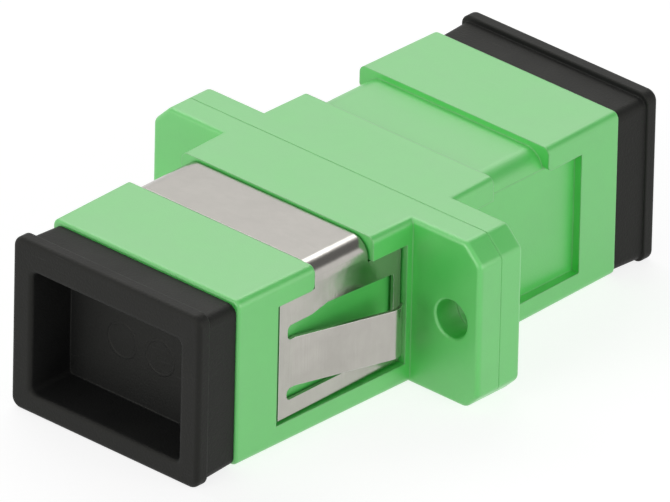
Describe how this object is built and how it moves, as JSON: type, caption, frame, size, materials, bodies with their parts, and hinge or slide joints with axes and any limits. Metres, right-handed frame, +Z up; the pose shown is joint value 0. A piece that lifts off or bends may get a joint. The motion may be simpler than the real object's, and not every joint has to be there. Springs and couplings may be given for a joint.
{
  "type": "sc simplex fibre adapter",
  "caption": "Flanged through-adapter joining two square-bodied fibre plugs end to end, with a panel spring clip and a pull-off dust cap in each port.",
  "frame": {"origin": "on the plugging axis, in the seam plane between the two housing halves, at mid-flange", "axes": "X across the flange through both ear holes, Y along the plugging axis with the half that carries the spring clip on -Y, Z up with the keyways upward"},
  "size_m": [0.0226, 0.0342, 0.0098],
  "materials": {
    "housing": "fine matte moulded",
    "insert": "moulded",
    "sleeve": "polished ceramic",
    "clip": "rolled sheet, satin",
    "cap": "matte moulded"
  },
  "bodies": {
    "adapter": {"housing_front": "housing", "housing_rear": "housing", "latch_insert_front": "insert", "latch_insert_rear": "insert", "alignment_sleeve": "sleeve", "spring_clip": "clip"},
    "front_cap": {"dust_cap_front": "cap"},
    "rear_cap": {"dust_cap_rear": "cap"}
  },
  "joints": [
    {"name": "cap_front_pull", "type": "slide", "parent": "adapter", "child": "front_cap", "axis": [0, -1, 0], "range_m": [0, 0.03]},
    {"name": "cap_rear_pull", "type": "slide", "parent": "adapter", "child": "rear_cap", "axis": [0, 1, 0], "range_m": [0, 0.03]}
  ]
}
